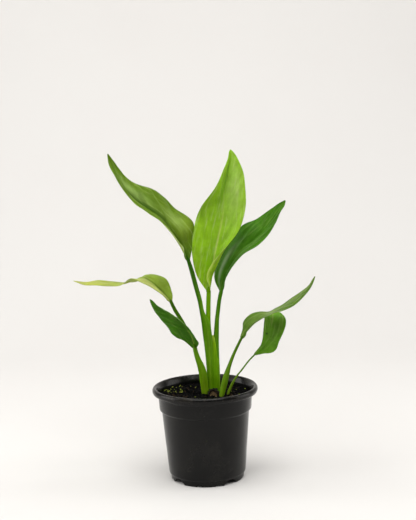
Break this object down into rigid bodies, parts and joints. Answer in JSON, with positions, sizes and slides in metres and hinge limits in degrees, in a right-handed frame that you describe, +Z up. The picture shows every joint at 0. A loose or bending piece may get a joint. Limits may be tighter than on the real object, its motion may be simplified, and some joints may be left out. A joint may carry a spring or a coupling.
{
  "type": "potted bird of paradise",
  "caption": "Young bird of paradise plant with seven long leaves on stalks, growing in a black plastic nursery pot.",
  "frame": {"origin": "on the pot's axis, at the plane its feet stand on", "axes": "+Z up along the pot's axis, +X to the right, -Y towards the viewer in front of the plant's fan of leaves"},
  "size_m": [0.2451, 0.108, 0.3355],
  "materials": {
    "pot_plastic": "satin black moulded plastic",
    "soil": "moist peat and bark mix",
    "mature_leaf": "waxy mid green",
    "dark_leaf": "waxy dark green",
    "young_leaf": "soft bright yellow green",
    "pale_leaf": "pale yellow green",
    "stalk": "smooth fresh green",
    "old_stub": "dark dried leaf base with a tan cut end"
  },
  "bodies": {
    "root": {"nursery_pot": "pot_plastic", "potting_soil": "soil", "short_left_blade": "dark_leaf", "short_left_stalk": "stalk", "long_right_blade": "mature_leaf", "long_right_stalk": "stalk", "cupped_right_blade": "mature_leaf", "cupped_right_stalk": "stalk", "upper_left_blade": "mature_leaf", "upper_left_stalk": "stalk", "right_blade": "dark_leaf", "right_stalk": "stalk", "centre_blade": "young_leaf", "centre_stalk": "stalk", "long_left_blade": "pale_leaf", "long_left_stalk": "stalk", "cut_leaf_base": "old_stub"}
  },
  "joints": []
}
